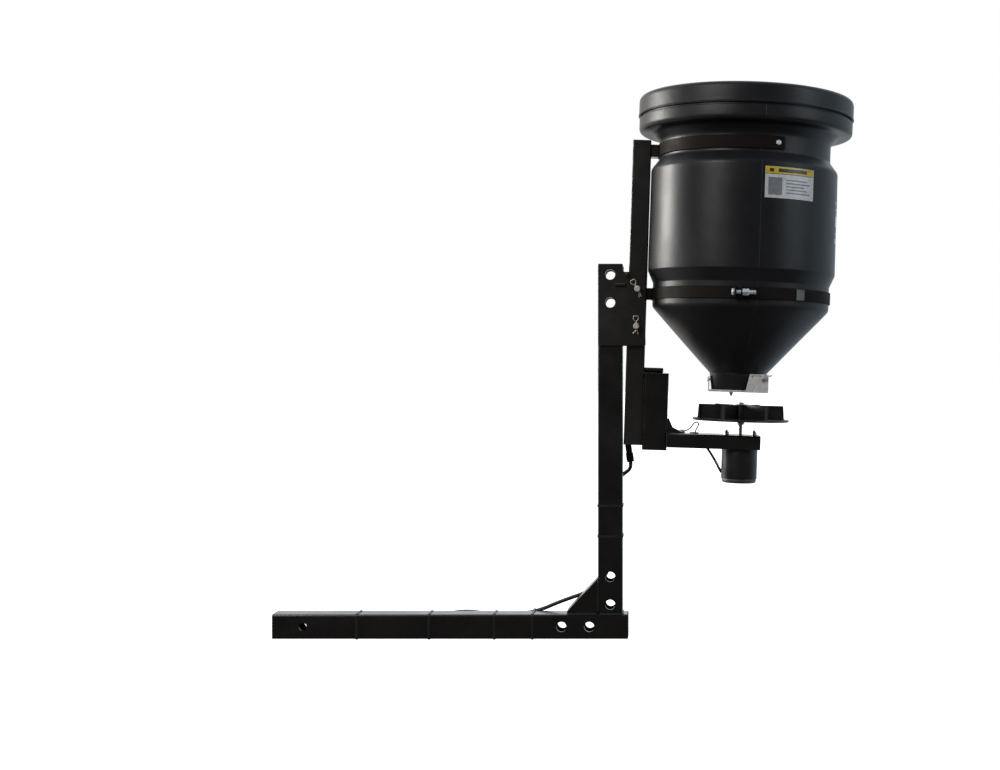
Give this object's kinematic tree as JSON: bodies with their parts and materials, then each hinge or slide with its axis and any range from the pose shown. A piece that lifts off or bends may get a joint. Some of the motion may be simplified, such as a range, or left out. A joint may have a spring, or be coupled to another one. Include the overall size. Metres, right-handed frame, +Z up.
{
  "type": "broadcast salt spreader",
  "caption": "Receiver-mounted salt spreader: square hitch shank and post, pinned mast, round poly hopper with lid, sliding feed gate and a motor-driven spinner disc.",
  "frame": {"origin": "centre of the hitch-pin bore in the square shank", "axes": "+X along the shank from the vehicle to the hopper, +Y along the hitch pin, away from the front view, +Z up"},
  "size_m": [1.1946, 0.4416, 1.1156],
  "materials": {
    "frame_paint": "gloss black powder coat",
    "magnet": "ferrite",
    "copper": "enamelled copper",
    "wire_black": "insulated wire",
    "board": "phenolic board",
    "zinc_steel": "bright zinc plated",
    "brass": "plain brass",
    "plain_steel": "plain ground steel",
    "gate_steel": "galvanised sheet",
    "label_yellow": "vinyl label",
    "harness_jacket": "cable jacket",
    "connector_plastic": "nylon connector",
    "tie_nylon": "nylon tie",
    "hopper_poly": "charcoal moulded polyethylene",
    "rubber": "rubber",
    "carbon": "carbon",
    "motor_paint": "black motor paint",
    "motor_alloy": "cast alloy cap",
    "label_pale": "vinyl label",
    "wire_red": "insulated wire",
    "spinner_plastic": "black moulded plastic",
    "plug_plastic": "black moulded plugs"
  },
  "bodies": {
    "frame": {"arm_bracket": "frame_paint", "arm_channel": "frame_paint", "arm_gusset": "frame_paint", "band_standoff": "frame_paint", "black_lead": "wire_black", "bracket_top_bar": "frame_paint", "brush_card": "board", "clamp_band": "frame_paint", "clamp_bolt": "zinc_steel", "clip_screw": "zinc_steel", "corner_gusset": "frame_paint", "cotter_pins": "zinc_steel", "front_label": "label_yellow", "gate_base": "gate_steel", "gate_rivets": "zinc_steel", "gate_stop_screw": "zinc_steel", "gate_stud": "zinc_steel", "harness_cable": "harness_jacket", "harness_connector": "connector_plastic", "harness_ties": "tie_nylon", "head_plate_far": "frame_paint", "head_plate_near": "frame_paint", "hitch_pins": "zinc_steel", "hopper": "hopper_poly", "lead_clip": "tie_nylon", "lead_connector": "connector_plastic", "lead_grommets": "rubber", "mast_spacers": "zinc_steel", "mast_tube": "frame_paint", "motor_bearings": "plain_steel", "motor_brushes": "carbon", "motor_can": "motor_paint", "motor_end_cap": "motor_alloy", "motor_front_plate": "motor_paint", "motor_magnets": "magnet", "motor_nuts": "zinc_steel", "motor_studs": "zinc_steel", "motor_tie_screws": "zinc_steel", "neck_strap": "frame_paint", "outlet_spout": "hopper_poly", "post_tube": "frame_paint", "rear_label": "label_pale", "receiver_tube": "frame_paint", "red_lead": "wire_red", "stop_stud": "frame_paint", "strap_bolts": "zinc_steel", "strap_nuts": "zinc_steel", "strap_standoff": "frame_paint", "tube_plugs": "plug_plastic", "vehicle_plug": "connector_plastic"},
    "spinner": {"drive_shaft": "plain_steel", "armature_core": "magnet", "armature_windings": "copper", "commutator": "brass", "spinner_disc": "spinner_plastic", "spinner_hub": "plain_steel", "spinner_nut": "zinc_steel"},
    "gate": {"feed_gate": "gate_steel"},
    "wing_nut": {"wing_nut": "zinc_steel"},
    "lid": {"lid": "hopper_poly"}
  },
  "joints": [
    {"name": "spinner_spin", "type": "hinge", "parent": "frame", "child": "spinner", "pos_m": [0.90439, 0, 0.60906], "axis": [0.0314, 0, 0.9995], "continuous": true},
    {"name": "gate_slide", "type": "slide", "parent": "frame", "child": "gate", "axis": [0.9995, 0, -0.0314], "range_m": [0, 0.024]},
    {"name": "wing_nut_turn", "type": "hinge", "parent": "frame", "child": "wing_nut", "pos_m": [0.94535, -0.064, 0.51172], "axis": [0, 1, 0], "continuous": true},
    {"name": "lid_lift", "type": "slide", "parent": "frame", "child": "lid", "axis": [0.0314, 0, 0.9995], "range_m": [0, 0.12]}
  ]
}
